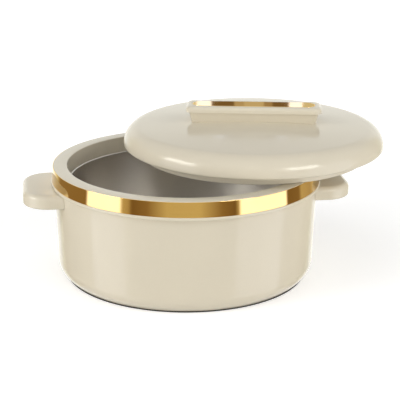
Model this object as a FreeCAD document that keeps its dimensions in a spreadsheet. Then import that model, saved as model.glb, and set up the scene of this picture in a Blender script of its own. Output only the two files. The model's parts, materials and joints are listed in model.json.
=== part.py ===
import FreeCAD, Part
import math
import os
import re
import Sketcher

# Insulated chapati casserole: a round double-walled pot with two side lugs, and a lift-off lid
# that lies level on the rim, pushed to one side. Millimetres. The origin is the centre of the
# base on the table, +Z is up and +X runs through the right lug.

sizes = {
    # pot, heights above the table
    "rim_height": 101.7,
    "rim_radius": 120.0,
    "rim_land": 12.8,
    "throat_draw": 1.2,
    "throat_depth": 14.35,
    "collar_wall": 2.4,
    "collar_edge_round": 0.5,
    "band_thick": 0.6,
    "band_flare": 1.1,
    "band_width": 13.0,
    "band_below_rim": 0.3,
    "band_edge_round": 0.2,
    "lip_height": 2.8,
    "lip_proud": 0.8,
    "lip_round": 0.8,
    # outer shell
    "shell_step": 1.3,
    "shell_taper": 2.6,
    "shell_wall": 2.4,
    "shell_tuck": 7.2,
    "shell_tuck_height": 7.0,
    "shell_corner": 17.5,
    "shell_inner_corner": 11.0,
    "spigot_wall": 2.0,
    "spigot_rise": 9.5,
    "ledge_thick": 2.2,
    "ledge_clearance": 3.0,
    "flange_thick": 2.4,
    "flange_reach": 9.5,
    # base
    "foot_height": 1.0,
    "foot_inset": 6.5,
    "foot_width": 4.4,
    "tongue_width": 1.2,
    "tongue_height": 1.2,
    "base_inset": 4.5,
    "base_thick": 2.0,
    "base_screw_inset": 4.5,
    "base_screw_count": 4,
    "pillar_radius": 3.4,
    "pillar_height": 9.0,
    "base_screw_radius": 1.45,
    "base_screw_head": 2.9,
    "base_screw_reach": 10.5,
    "base_screw_sink": 1.0,
    "plug_head_radius": 11.0,
    "plug_stem_radius": 7.9,
    "plug_head_thick": 0.9,
    "plug_length": 6.0,
    # steel bowl and its seal
    "bowl_inset": 1.0,
    "bowl_draw": 7.0,
    "bowl_floor_height": 14.0,
    "bowl_wall": 0.7,
    "bowl_corner": 16.0,
    "bowl_lip_round": 1.2,
    "bowl_flange_clearance": 1.7,
    "seal_height": 2.0,
    "seal_width": 3.0,
    # side lugs
    "lug_length": 28.5,
    "lug_half_width": 40.2,
    "lug_straight": 4.9,
    "lug_height": 12.2,
    "lug_top_round": 5.0,
    "lug_foot_round": 2.0,
    "lug_wall": 3.0,
    "lug_back": 3.4,
    "lug_cover_thick": 2.0,
    "lug_boss_radius": 3.6,
    "lug_boss_length": 13.0,
    "lug_boss_root": 1.7,
    "lug_screw_distance": 20.0,
    "lug_screw_radius": 2.0,
    "lug_screw_head_radius": 3.1,
    "lug_seat_wall": 0.8,
    "lug_screw_head_height": 2.4,
    "lug_screw_length": 19.0,
    "lug_seat_depth": 4.2,
    "lug_seat_bite": 1.2,
    # lid, heights above its flat underside
    "lid_wall": 2.4,
    "lid_crown": 32.2,
    "lid_shoulder_radius": 16.5,
    "lid_edge_round": 2.0,
    "lid_edge_land": 0.1,
    "plug_clearance": 1.0,
    "plug_height": 8.5,
    "plug_round": 1.2,
    "liner_wall": 1.8,
    # lid handle, heights above the lid's underside
    "grip_top": 45.8,
    "grip_lip_height": 5.3,
    "grip_half_length": 62.0,
    "grip_half_width": 15.5,
    "grip_corner": 8.0,
    "grip_neck_inset_along": 2.6,
    "grip_neck_inset_across": 1.0,
    "grip_neck_corner": 6.7,
    "grip_foot_inset_along": 5.2,
    "grip_foot_inset_across": 2.9,
    "grip_foot_corner": 5.4,
    "grip_top_round": 3.2,
    "grip_wall": 3.0,
    "grip_hollow_corner": 3.9,
    "inlay_half_length": 56.5,
    "inlay_half_width": 9.6,
    "inlay_thick": 1.0,
    "inlay_proud": 0.15,
    "inlay_round": 0.3,
    "grip_boss_radius": 4.4,
    "grip_screw_distance": 38.0,
    "grip_screw_radius": 2.0,
    "grip_screw_head_radius": 3.9,
    "grip_screw_head_height": 2.4,
    "grip_screw_length": 13.0,
    "washer_radius": 5.5,
    "washer_thick": 1.0,
    "seat_radius": 6.5,
    "seat_depth": 2.6,
    "seat_bite": 0.8,
    # screw drives
    "drive_slot_width": 0.9,
    "drive_slot_length": 3.2,
    "drive_depth": 1.2,
    # clearances
    "seam_gap": 0.15,
    "fit_gap": 0.3,
    "screw_gap": 0.06,
    # where the lid lies on the rim, and how it is turned
    "lid_shift_along": 66.18,
    "lid_shift_back": 25.8,
    "lid_turn": -10.0,
}

# sizes that follow from the ones above
worked_out = {
    "mouth_radius": "rim_radius - rim_land",
    "throat_radius": "mouth_radius - throat_draw",
    "throat_height": "rim_height - throat_depth",
    "shell_top_radius": "rim_radius - shell_step",
    "shell_foot_radius": "shell_top_radius - shell_taper",
    "shell_edge_radius": "shell_foot_radius - shell_tuck",
    "foot_radius": "shell_foot_radius - foot_inset",
    "base_radius": "foot_radius - base_inset",
    "base_screw_ring": "base_radius - base_screw_inset",
    "bowl_radius": "throat_radius - bowl_inset",
    "bowl_floor_radius": "bowl_radius - bowl_draw",
    "lug_reach": "shell_top_radius + lug_length",
    "lug_corner": "lug_length - lug_straight",
    "lid_radius": "rim_radius",
    "plug_radius": "throat_radius - plug_clearance",
    "band_top": "rim_height - band_below_rim",
    "lip_top": "band_top - band_width",
    "lip_bottom": "lip_top - lip_height",
    "lip_radius": "rim_radius + band_flare + lip_proud",
    "skirt_radius": "rim_radius - band_thick - collar_wall",
    "spigot_radius": "skirt_radius - fit_gap",
    "spigot_inner_radius": "spigot_radius - spigot_wall",
    "bowl_flange_radius": "spigot_inner_radius - bowl_flange_clearance",
    "ledge_radius": "bowl_radius + bowl_wall + ledge_clearance",
    "shell_top": "lip_bottom - seam_gap",
    "shell_slope": "(shell_top_radius - shell_foot_radius) / (shell_top - foot_height)",
    "tuck_top": "foot_height + shell_tuck_height",
    "tuck_inner_top": "tuck_top + shell_wall * tan(atan(shell_tuck / shell_tuck_height) / 2)",
    "ledge_top": "throat_height - bowl_wall - seal_height",
    "ledge_bottom": "ledge_top - ledge_thick",
    "base_seat_radius": "base_radius + seam_gap",
    "flange_bottom": "foot_height + base_thick",
    "flange_top": "flange_bottom + flange_thick",
    "flange_radius": "base_radius - flange_reach",
    "foot_groove_middle": "foot_radius - foot_width / 2",
    "plug_seat": "foot_height + plug_head_thick + seam_gap",
    "lug_top": "lip_bottom - fit_gap",
    "lug_bottom": "lug_top - lug_height",
    "lug_screw_height": "(lug_top + lug_bottom) / 2",
    "lug_seat_radius": "sqrt(pow(shell_top_radius - shell_wall; 2) - pow(lug_screw_distance; 2))",
    "lug_seat_face": "lug_seat_radius - lug_seat_depth + lug_seat_bite",
    "lid_shoulder_height": "plug_height + seam_gap + liner_wall + fit_gap + lid_edge_land",
    "lid_shoulder_middle": "lid_radius - lid_shoulder_radius",
    "lid_rise": "lid_crown - lid_shoulder_height",
    "lid_crown_radius": "(pow(lid_shoulder_middle; 2) + pow(lid_rise; 2) - pow(lid_shoulder_radius; 2))"
    " / (2 * (lid_rise - lid_shoulder_radius))",
    "lid_crown_middle": "lid_crown - lid_crown_radius",
    "lid_join_sine": "lid_shoulder_middle / (lid_crown_radius - lid_shoulder_radius)",
    "lid_join_cosine": "sqrt(1 - pow(lid_join_sine; 2))",
    "liner_radius": "lid_radius - lid_wall - seam_gap",
    "liner_bottom": "plug_height + seam_gap",
    "liner_top": "liner_bottom + liner_wall",
    "grip_lip_bottom": "grip_top - grip_lip_height",
    "grip_seat": "lid_crown - lid_wall - seat_depth",
    "washer_bottom": "grip_seat - washer_thick",
    "grip_head_bottom": "washer_bottom - grip_screw_head_height",
}

doc = FreeCAD.newDocument("casserole")
sheet = doc.addObject("Spreadsheet::Sheet", "Sizes")
for row, (word, value) in enumerate(sizes.items(), start=1):
    sheet.set("A%d" % row, word)
    sheet.set("B%d" % row, str(value))
    sheet.setAlias("B%d" % row, word)
for row, (word, formula) in enumerate(worked_out.items(), start=len(sizes) + 1):
    sheet.set("A%d" % row, word)
    sheet.set("B%d" % row, "=" + formula)
    sheet.setAlias("B%d" % row, word)
doc.recompute()
aliases = set(sizes) | set(worked_out)

# how close two measures have to be to count as the same, and the least a pocket has to take away
close_enough = 1e-4
least_cut = 0.01


def bound(formula):
    """The formula with each size named as its cell of the sheet."""
    return re.sub(r"[a-z_]+", lambda m: "Sizes." + m.group() if m.group() in aliases else m.group(), formula)


def number(formula):
    return float(sheet.evalExpression(bound(formula)))


def shell_at(height):
    """The outer shell's radius at a height."""
    return "(shell_foot_radius + shell_slope * (%s - foot_height))" % height


def tucked_at(height, gap="0"):
    """The radius inside the slanting foot of the shell's wall, less a gap, at a height."""
    slant = "shell_tuck * (tuck_inner_top + %s - (%s)) / shell_tuck_height" % (gap, height)
    return "%s - shell_wall - %s - %s" % (shell_at("(%s)" % height), gap, slant)


# Sketches, features and edges
def new_body(name):
    body = doc.addObject("PartDesign::Body", name)
    body.Label = name
    return body


def new_sketch(body, name, role, lift=None):
    sketch = body.newObject("Sketcher::SketchObject", name)
    plane = [item for item in body.Origin.OriginFeatures if item.Role == role][0]
    sketch.AttachmentSupport = [(plane, "")]
    sketch.MapMode = "FlatFace"
    if lift is not None:
        sketch.setExpression("AttachmentOffset.Base.z", bound(lift))
    return sketch


def hold(sketch, direction, geometry, point, formula):
    """Ties one coordinate of a sketch point to a formula."""
    if formula == "0":
        axis = -2 if direction == "DistanceX" else -1
        sketch.addConstraint(Sketcher.Constraint("PointOnObject", geometry, point, axis))
        return
    row = sketch.addConstraint(Sketcher.Constraint(direction, -1, 1, geometry, point, number(formula)))
    sketch.setExpression("Constraints[%d]" % row, bound(formula))


def draw_loop(sketch, corners):
    """A closed outline. A corner is x and y, and after an arc also its radius and its turn, 1 for left."""
    places = [FreeCAD.Vector(number(corner[0]), number(corner[1]), 0) for corner in corners]
    ends = []
    for index, corner in enumerate(corners):
        following = corners[(index + 1) % len(corners)]
        start = places[index]
        stop = places[(index + 1) % len(corners)]
        if len(following) == 2:
            ends.append((sketch.addGeometry(Part.LineSegment(start, stop), False), 1, 2))
            continue
        radius = number(following[2])
        left = following[3] > 0
        chord = stop - start
        middle = (start + stop) * 0.5
        rise = math.sqrt(max(radius * radius - chord.Length * chord.Length / 4, 0))
        side = FreeCAD.Vector(-chord.y, chord.x, 0).normalize()
        centre = middle + side * (rise if left else -rise)
        first, last = (start, stop) if left else (stop, start)
        from_angle = math.atan2(first.y - centre.y, first.x - centre.x)
        to_angle = math.atan2(last.y - centre.y, last.x - centre.x)
        if to_angle < from_angle:
            to_angle += 2 * math.pi
        circle = Part.Circle(centre, FreeCAD.Vector(0, 0, 1), radius)
        arc = sketch.addGeometry(Part.ArcOfCircle(circle, from_angle, to_angle), False)
        row = sketch.addConstraint(Sketcher.Constraint("Radius", arc, radius))
        sketch.setExpression("Constraints[%d]" % row, bound(following[2]))
        ends.append((arc, 1, 2) if left else (arc, 2, 1))
    for index, (geometry, start, stop) in enumerate(ends):
        following, other, unused = ends[(index + 1) % len(ends)]
        sketch.addConstraint(Sketcher.Constraint("Coincident", geometry, stop, following, other))
        hold(sketch, "DistanceX", geometry, start, corners[index][0])
        hold(sketch, "DistanceY", geometry, start, corners[index][1])


def draw_circle(sketch, across, up, radius):
    middle = FreeCAD.Vector(number(across), number(up), 0)
    ring = sketch.addGeometry(Part.Circle(middle, FreeCAD.Vector(0, 0, 1), number(radius)), False)
    hold(sketch, "DistanceX", ring, 3, across)
    hold(sketch, "DistanceY", ring, 3, up)
    row = sketch.addConstraint(Sketcher.Constraint("Radius", ring, number(radius)))
    sketch.setExpression("Constraints[%d]" % row, bound(radius))


def rounded_box(half_x, half_y, radius):
    """The outline of a box with round corners about the sketch's origin."""
    straight_x = "(%s) - (%s)" % (half_x, radius)
    straight_y = "(%s) - (%s)" % (half_y, radius)
    return [
        ("-(%s)" % straight_x, "-(%s)" % half_y, radius, 1),
        (straight_x, "-(%s)" % half_y),
        (half_x, "-(%s)" % straight_y, radius, 1),
        (half_x, straight_y),
        (straight_x, half_y, radius, 1),
        ("-(%s)" % straight_x, half_y),
        ("-(%s)" % half_x, straight_y, radius, 1),
        ("-(%s)" % half_x, "-(%s)" % straight_y),
    ]


def turned(body, name, corners, kind="PartDesign::Revolution"):
    """A full turn of an outline about the body's own upright axis."""
    sketch = new_sketch(body, name + "_outline", "XZ_Plane")
    draw_loop(sketch, corners)
    feature = body.newObject(kind, name)
    feature.Profile = sketch
    feature.ReferenceAxis = (sketch, ["V_Axis"])
    feature.Angle = 360
    doc.recompute()
    return feature


def raised(body, name, role, lift, draw, length):
    """A pad from a plane, towards its normal."""
    sketch = new_sketch(body, name + "_outline", role, lift)
    draw(sketch)
    feature = body.newObject("PartDesign::Pad", name)
    feature.Profile = sketch
    feature.setExpression("Length", bound(length))
    doc.recompute()
    return feature


def sunk(body, name, role, lift, draw, length=None, along_normal=False, both_ways=False):
    """A pocket from a plane, against its normal unless said otherwise. It has to take material away."""
    before = body.Shape.Volume
    sketch = new_sketch(body, name + "_outline", role, lift)
    draw(sketch)
    feature = body.newObject("PartDesign::Pocket", name)
    feature.Profile = sketch
    if both_ways:
        feature.Type = "ThroughAll"
        feature.Midplane = True
    else:
        feature.setExpression("Length", bound(length))
    feature.Reversed = along_normal
    doc.recompute()
    if body.Shape.Volume > before - least_cut:
        raise RuntimeError(name + " cut nothing")
    return feature


def rings_at(shape, places):
    """The names of the whole circles about the upright axis at the given radii and heights."""
    names = []
    for index, edge in enumerate(shape.Edges, start=1):
        if edge.Degenerated or not isinstance(edge.Curve, Part.Circle):
            continue
        middle = edge.Curve.Center
        for radius, height in places:
            apart = FreeCAD.Vector(0, 0, number(height)).distanceToPoint(middle)
            if apart < close_enough and abs(edge.Curve.Radius - number(radius)) < close_enough:
                names.append("Edge%d" % index)
    if len(names) != len(places):
        raise RuntimeError("found %d of %d rings" % (len(names), len(places)))
    return names


def soften_rings(body, name, places, radius):
    tip = body.Tip
    edges = rings_at(tip.Shape, places)
    feature = body.newObject("PartDesign::Fillet", name)
    feature.Base = (tip, edges)
    feature.setExpression("Radius", bound(radius))
    doc.recompute()
    return feature


def soften_edges(body, name, wanted, radius):
    """A fillet on the edges of the last feature for which wanted is true."""
    tip = body.Tip
    edges = ["Edge%d" % index for index, edge in enumerate(tip.Shape.Edges, start=1) if wanted(edge)]
    if not edges:
        raise RuntimeError(name + " found no edge")
    feature = body.newObject("PartDesign::Fillet", name)
    feature.Base = (tip, edges)
    feature.setExpression("Radius", bound(radius))
    doc.recompute()
    return feature


def flat_at(height):
    """Whether an edge lies level at a height."""
    level = number(height)

    def lies_there(edge):
        low, high = edge.BoundBox.ZMin, edge.BoundBox.ZMax
        return abs(low - level) < close_enough and abs(high - level) < close_enough
    return lies_there


def repeated(body, name, feature, count):
    """A full circle of copies about the upright axis."""
    pattern = body.newObject("PartDesign::PolarPattern", name)
    pattern.Originals = [feature]
    pattern.Axis = (feature.Profile[0], ["N_Axis"])
    pattern.Angle = 360
    pattern.setExpression("Occurrences", bound(count))
    body.Tip = pattern
    doc.recompute()
    return pattern


def mirrored(body, name, features):
    """The same features on the other side of the plane through the upright axis and Y."""
    mirror = body.newObject("PartDesign::Mirrored", name)
    mirror.Originals = features
    plane = [item for item in body.Origin.OriginFeatures if item.Role == "YZ_Plane"][0]
    mirror.MirrorPlane = (plane, [""])
    body.Tip = mirror
    doc.recompute()
    return mirror


def place_on_lid(item):
    """Moves a lid piece to where the lid lies on the rim."""
    item.Placement = FreeCAD.Placement(
        FreeCAD.Vector(number("lid_shift_along"), number("lid_shift_back"), number("rim_height")),
        FreeCAD.Rotation(FreeCAD.Vector(0, 0, 1), number("lid_turn")),
    )
    item.setExpression("Placement.Base.x", bound("lid_shift_along"))
    item.setExpression("Placement.Base.y", bound("lid_shift_back"))
    item.setExpression("Placement.Base.z", bound("rim_height"))
    item.setExpression("Placement.Rotation.Angle", bound("lid_turn"))


def screws(name, places, head_radius, head_height, shank_radius, length):
    """A group of equal pan-head screws. A place is the point under the head and the way the shank points."""
    group = []
    for index, (point, turn_axis, turn_angle) in enumerate(places, start=1):
        label = "%s_%d" % (name, index)
        head = doc.addObject("Part::Cylinder", label + "_head")
        head.setExpression("Radius", bound(head_radius))
        head.setExpression("Height", bound(head_height))
        head.setExpression("Placement.Base.z", bound("-(%s)" % head_height))
        shank = doc.addObject("Part::Cylinder", label + "_shank")
        shank.setExpression("Radius", bound(shank_radius))
        shank.setExpression("Height", bound(length))
        whole = doc.addObject("Part::Fuse", label + "_blank")
        whole.Base = head
        whole.Tool = shank
        slots = (("drive_slot_length", "drive_slot_width"), ("drive_slot_width", "drive_slot_length"))
        for side, (wide, deep) in enumerate(slots):
            slot = doc.addObject("Part::Box", "%s_slot_%d" % (label, side))
            slot.setExpression("Length", bound(wide))
            slot.setExpression("Width", bound(deep))
            slot.setExpression("Height", bound("drive_depth"))
            slot.setExpression("Placement.Base.x", bound("-(%s) / 2" % wide))
            slot.setExpression("Placement.Base.y", bound("-(%s) / 2" % deep))
            slot.setExpression("Placement.Base.z", bound("-(%s)" % head_height))
            cut = doc.addObject("Part::Cut", "%s_cut_%d" % (label, side))
            cut.Base = whole
            cut.Tool = slot
            whole = cut
        place = FreeCAD.Vector(number(point[0]), number(point[1]), number(point[2]))
        whole.Placement = FreeCAD.Placement(place, FreeCAD.Rotation(turn_axis, turn_angle))
        whole.setExpression("Placement.Base.x", bound(point[0]))
        whole.setExpression("Placement.Base.y", bound(point[1]))
        whole.setExpression("Placement.Base.z", bound(point[2]))
        group.append(whole)
    compound = doc.addObject("Part::Compound", name)
    compound.Label = name
    compound.Links = group
    doc.recompute()
    return compound


def dome(inset, foot):
    """The lid's rounded outline at an inset from its outside, from the crown down to a height called foot."""
    join_radius = "(lid_crown_radius - (%s))" % inset
    return [
        ("0", "lid_crown - (%s)" % inset),
        ("%s * lid_join_sine" % join_radius, "lid_crown_middle + %s * lid_join_cosine" % join_radius,
         join_radius, -1),
        ("lid_radius - (%s)" % inset, "lid_shoulder_height", "lid_shoulder_radius - (%s)" % inset, -1),
        ("lid_radius - (%s)" % inset, foot),
    ]


nodes = {}

# Pot: the outer shell, open below, with an inner ledge near the top and a flange for the base
shell_body = new_body("outer_shell")
turned(shell_body, "shell_wall_turned", [
    ("flange_radius", "flange_bottom"),
    ("base_seat_radius", "flange_bottom"),
    ("base_seat_radius", "foot_height"),
    ("foot_groove_middle - tongue_width / 2 - seam_gap", "foot_height"),
    ("foot_groove_middle - tongue_width / 2 - seam_gap", "foot_height + tongue_height + seam_gap"),
    ("foot_groove_middle + tongue_width / 2 + seam_gap", "foot_height + tongue_height + seam_gap"),
    ("foot_groove_middle + tongue_width / 2 + seam_gap", "foot_height"),
    ("shell_edge_radius", "foot_height"),
    (shell_at("tuck_top"), "tuck_top"),
    ("shell_top_radius", "shell_top"),
    ("spigot_radius", "shell_top"),
    ("spigot_radius", "lip_bottom + spigot_rise"),
    ("spigot_inner_radius", "lip_bottom + spigot_rise"),
    ("spigot_inner_radius", "ledge_top"),
    ("ledge_radius", "ledge_top"),
    ("ledge_radius", "ledge_bottom"),
    (shell_at("ledge_bottom") + " - shell_wall", "ledge_bottom"),
    (shell_at("tuck_inner_top") + " - shell_wall", "tuck_inner_top"),
    (tucked_at("flange_top"), "flange_top"),
    ("flange_radius", "flange_top"),
])
soften_rings(shell_body, "shell_corner_round", [(shell_at("tuck_top"), "tuck_top")], "shell_corner")
soften_rings(shell_body, "shell_inner_round",
             [(shell_at("tuck_inner_top") + " - shell_wall", "tuck_inner_top")], "shell_inner_corner")
pillar = raised(
    shell_body, "pillar", "XY_Plane", "flange_top - seam_gap",
    lambda sketch: draw_circle(sketch, "base_screw_ring", "0", "pillar_radius"),
    "pillar_height",
)
repeated(shell_body, "pillars", pillar, "base_screw_count")
pilot = sunk(
    shell_body, "pillar_hole", "XY_Plane", "flange_bottom - seam_gap",
    lambda sketch: draw_circle(sketch, "base_screw_ring", "0", "base_screw_radius + screw_gap"),
    "base_screw_reach", along_normal=True,
)
repeated(shell_body, "pillar_holes", pilot, "base_screw_count")


def lug_screw_circles(radius):
    def draw(sketch):
        for side in ("", "-"):
            draw_circle(sketch, side + "lug_screw_distance", "lug_screw_height", radius)
    return draw


seats = raised(
    shell_body, "lug_seats", "YZ_Plane", "lug_seat_face",
    lug_screw_circles("lug_screw_head_radius + lug_seat_wall"), "lug_seat_depth",
)
mirrored(shell_body, "lug_seats_left", [seats])
sunk(
    shell_body, "lug_screw_holes", "YZ_Plane", None,
    lug_screw_circles("lug_screw_radius + screw_gap"), both_ways=True,
)
nodes["outer_shell"] = shell_body

# Base: a screwed cover with a filler plug, and a rubber ring to stand on
cover_body = new_body("base_cover")
turned(cover_body, "cover_plate", [
    ("plug_stem_radius + seam_gap", "plug_seat"),
    ("plug_head_radius + seam_gap", "plug_seat"),
    ("plug_head_radius + seam_gap", "foot_height"),
    ("base_radius", "foot_height"),
    ("base_radius", "flange_bottom"),
    ("plug_stem_radius + seam_gap", "flange_bottom"),
])
cover_hole = sunk(
    cover_body, "cover_screw_hole", "XY_Plane", "foot_height - seam_gap",
    lambda sketch: draw_circle(sketch, "base_screw_ring", "0", "base_screw_radius + screw_gap"),
    "base_thick + 2 * seam_gap", along_normal=True,
)
repeated(cover_body, "cover_screw_holes", cover_hole, "base_screw_count")
cover_sink = sunk(
    cover_body, "cover_screw_sink", "XY_Plane", "foot_height - seam_gap",
    lambda sketch: draw_circle(sketch, "base_screw_ring", "0", "base_screw_head + seam_gap"),
    "base_screw_sink + seam_gap", along_normal=True,
)
repeated(cover_body, "cover_screw_sinks", cover_sink, "base_screw_count")
nodes["base_cover"] = cover_body

ring_body = new_body("foot_ring")
turned(ring_body, "ring_turned", [
    ("foot_radius - foot_width", "0"),
    ("foot_radius", "0"),
    ("foot_radius", "foot_height"),
    ("foot_groove_middle + tongue_width / 2", "foot_height"),
    ("foot_groove_middle + tongue_width / 2", "foot_height + tongue_height"),
    ("foot_groove_middle - tongue_width / 2", "foot_height + tongue_height"),
    ("foot_groove_middle - tongue_width / 2", "foot_height"),
    ("foot_radius - foot_width", "foot_height"),
])
nodes["foot_ring"] = ring_body

base_places = []
for index in range(int(sizes["base_screw_count"])):
    angle = "(360 * %d / base_screw_count)" % index
    point = (
        "base_screw_ring * cos(%s)" % angle,
        "base_screw_ring * sin(%s)" % angle,
        "foot_height + base_screw_sink",
    )
    base_places.append((point, FreeCAD.Vector(0, 0, 1), 0))
nodes["base_screws"] = screws(
    "base_screws", base_places, "base_screw_head", "base_screw_sink - seam_gap",
    "base_screw_radius", "base_screw_reach - base_thick",
)

plug_body = new_body("base_fill_plug")
turned(plug_body, "plug_turned", [
    ("0", "foot_height + seam_gap"),
    ("plug_head_radius", "foot_height + seam_gap"),
    ("plug_head_radius", "plug_seat"),
    ("plug_stem_radius", "plug_seat"),
    ("plug_stem_radius", "plug_seat + plug_length"),
    ("0", "plug_seat + plug_length"),
])
nodes["base_fill_plug"] = plug_body

# Steel bowl: it hangs by its flange on the seal, under the collar
bowl_body = new_body("steel_bowl")
turned(bowl_body, "bowl_turned", [
    ("0", "bowl_floor_height"),
    ("bowl_floor_radius + bowl_wall", "bowl_floor_height"),
    ("bowl_radius + bowl_wall", "throat_height - bowl_wall"),
    ("bowl_flange_radius", "throat_height - bowl_wall"),
    ("bowl_flange_radius", "throat_height"),
    ("bowl_radius", "throat_height"),
    ("bowl_floor_radius", "bowl_floor_height + bowl_wall"),
    ("0", "bowl_floor_height + bowl_wall"),
])
soften_rings(bowl_body, "bowl_outer_corner", [("bowl_floor_radius + bowl_wall", "bowl_floor_height")],
             "bowl_corner + bowl_wall")
soften_rings(bowl_body, "bowl_inner_corner", [("bowl_floor_radius", "bowl_floor_height + bowl_wall")],
             "bowl_corner")
soften_rings(bowl_body, "bowl_lip_bend", [("bowl_radius", "throat_height")], "bowl_lip_round")
nodes["steel_bowl"] = bowl_body

seal_body = new_body("bowl_seal")
turned(seal_body, "seal_turned", [
    ("bowl_flange_radius - seal_width", "ledge_top"),
    ("bowl_flange_radius", "ledge_top"),
    ("bowl_flange_radius", "throat_height - bowl_wall"),
    ("bowl_flange_radius - seal_width", "throat_height - bowl_wall"),
])
nodes["bowl_seal"] = seal_body

# Foam: it fills the space between the shell and the bowl
foam_body = new_body("foam_jacket")
turned(foam_body, "foam_turned", [
    ("0", "plug_seat + plug_length + fit_gap"),
    ("plug_stem_radius + fit_gap", "plug_seat + plug_length + fit_gap"),
    ("plug_stem_radius + fit_gap", "flange_bottom + fit_gap"),
    ("flange_radius - fit_gap", "flange_bottom + fit_gap"),
    ("flange_radius - fit_gap", "flange_top + fit_gap"),
    (tucked_at("flange_top + fit_gap", "fit_gap"), "flange_top + fit_gap"),
    (shell_at("(tuck_inner_top + fit_gap)") + " - shell_wall - fit_gap", "tuck_inner_top + fit_gap"),
    (shell_at("(ledge_bottom - fit_gap)") + " - shell_wall - fit_gap", "ledge_bottom - fit_gap"),
    ("bowl_radius + bowl_wall + fit_gap", "ledge_bottom - fit_gap"),
    ("bowl_floor_radius + bowl_wall + fit_gap", "bowl_floor_height - fit_gap"),
    ("0", "bowl_floor_height - fit_gap"),
])
soften_rings(foam_body, "foam_corner",
             [("bowl_floor_radius + bowl_wall + fit_gap", "bowl_floor_height - fit_gap")],
             "bowl_corner + bowl_wall + fit_gap")
soften_rings(foam_body, "foam_foot_round",
             [(shell_at("(tuck_inner_top + fit_gap)") + " - shell_wall - fit_gap", "tuck_inner_top + fit_gap")],
             "shell_inner_corner")
pillar_room = sunk(
    foam_body, "pillar_room", "XY_Plane", None,
    lambda sketch: draw_circle(sketch, "base_screw_ring", "0", "pillar_radius + fit_gap"),
    "flange_top + pillar_height + fit_gap", along_normal=True,
)
repeated(foam_body, "pillar_rooms", pillar_room, "base_screw_count")
sunk(
    foam_body, "lug_seat_rooms", "YZ_Plane", None,
    lug_screw_circles("lug_screw_head_radius + lug_seat_wall + fit_gap"), both_ways=True,
)
nodes["foam_jacket"] = foam_body

# Collar: the pale rim, its inner throat, the skirt behind the band and the lip under it
collar_body = new_body("rim_collar")
turned(collar_body, "collar_turned", [
    ("throat_radius", "throat_height"),
    ("throat_radius + collar_wall", "throat_height"),
    ("mouth_radius + collar_wall", "rim_height - collar_wall"),
    ("skirt_radius", "rim_height - collar_wall"),
    ("skirt_radius", "lip_bottom"),
    ("lip_radius", "lip_bottom"),
    ("lip_radius", "lip_top"),
    ("rim_radius + band_flare - band_thick", "lip_top"),
    ("rim_radius - band_thick", "band_top"),
    ("rim_radius - band_thick", "rim_height"),
    ("mouth_radius", "rim_height"),
])
soften_rings(collar_body, "rim_edges",
             [("rim_radius - band_thick", "rim_height"), ("mouth_radius", "rim_height")], "collar_edge_round")
soften_rings(collar_body, "lip_edges", [("lip_radius", "lip_bottom"), ("lip_radius", "lip_top")], "lip_round")
nodes["rim_collar"] = collar_body

band_body = new_body("gold_band")
turned(band_body, "band_turned", [
    ("rim_radius + band_flare - band_thick + seam_gap", "lip_top"),
    ("rim_radius + band_flare", "lip_top"),
    ("rim_radius", "band_top"),
    ("rim_radius - band_thick + seam_gap", "band_top"),
])
soften_rings(band_body, "band_edges", [("rim_radius", "band_top")], "band_edge_round")
nodes["gold_band"] = band_body


# Side lugs: each is a hollow moulding closed from below and screwed on from inside the shell
def lug_outline(inset, root):
    """The lug's plan at an inset, from an inner end at root to the tip."""
    reach = "lug_reach - (%s)" % inset
    half = "(lug_half_width - (%s))" % inset
    corner = "(lug_corner - (%s))" % inset
    return [
        (root, "-" + half),
        ("%s - %s" % (reach, corner), "-" + half),
        (reach, "%s - %s" % (corner, half), corner, 1),
        (reach, "%s - %s" % (half, corner)),
        ("%s - %s" % (reach, corner), half, corner, 1),
        (root, half),
    ]


def outer_edge_at(height, root):
    level = flat_at(height)
    inner_end = number(root)
    return lambda edge: level(edge) and edge.BoundBox.XMax > inner_end + close_enough


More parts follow.
